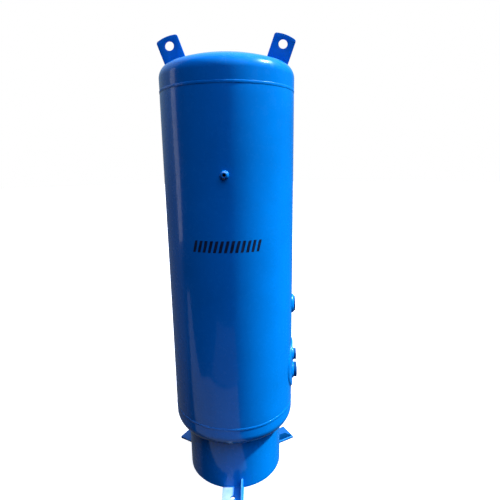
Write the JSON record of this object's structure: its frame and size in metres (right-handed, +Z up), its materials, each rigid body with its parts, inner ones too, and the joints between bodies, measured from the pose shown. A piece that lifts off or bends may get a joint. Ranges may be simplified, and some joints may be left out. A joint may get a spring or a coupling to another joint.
{
  "type": "air receiver tank",
  "caption": "Upright cylindrical compressed-air receiver with dished heads, a skirt with bolted feet, lifting lugs and threaded sockets, in blue enamel.",
  "frame": {"origin": "on the floor at the centre of the skirt and of the anchor bolt circle", "axes": "+Z up along the vessel's axis, -Y towards the gauge socket, +X towards the air sockets"},
  "size_m": [0.6546, 0.652, 2.1244],
  "materials": {
    "enamel": "glossy blue enamel on rolled steel plate",
    "weld_enamel": "glossy blue enamel over rippled weld beads",
    "socket_enamel": "glossy blue enamel on turned steel sockets",
    "thread_steel": "bare cut pipe thread, dull and lightly oiled",
    "marking": "dark navy stencil paint"
  },
  "bodies": {
    "root": {"shell": "enamel", "top_head": "enamel", "bottom_head": "enamel", "skirt": "enamel", "lifting_lug_right": "enamel", "lifting_lug_left": "enamel", "reinforcing_pad": "enamel", "front_foot_plate": "enamel", "front_foot_gusset": "enamel", "right_foot_plate": "enamel", "right_foot_gusset": "enamel", "left_foot_plate": "enamel", "left_foot_gusset": "enamel", "top_seam_weld": "weld_enamel", "bottom_seam_weld": "weld_enamel", "long_seam_weld": "weld_enamel", "gauge_socket_weld": "weld_enamel", "outlet_socket_weld": "weld_enamel", "safety_valve_socket_weld": "weld_enamel", "inlet_socket_weld": "weld_enamel", "reinforcing_pad_weld": "weld_enamel", "drain_socket_weld": "weld_enamel", "skirt_weld": "weld_enamel", "lug_weld_right": "weld_enamel", "lug_weld_left": "weld_enamel", "front_foot_weld": "weld_enamel", "right_foot_weld": "weld_enamel", "left_foot_weld": "weld_enamel", "gauge_socket": "socket_enamel", "outlet_socket": "socket_enamel", "safety_valve_socket": "socket_enamel", "inlet_socket": "socket_enamel", "drain_socket": "socket_enamel"}
  },
  "joints": []
}
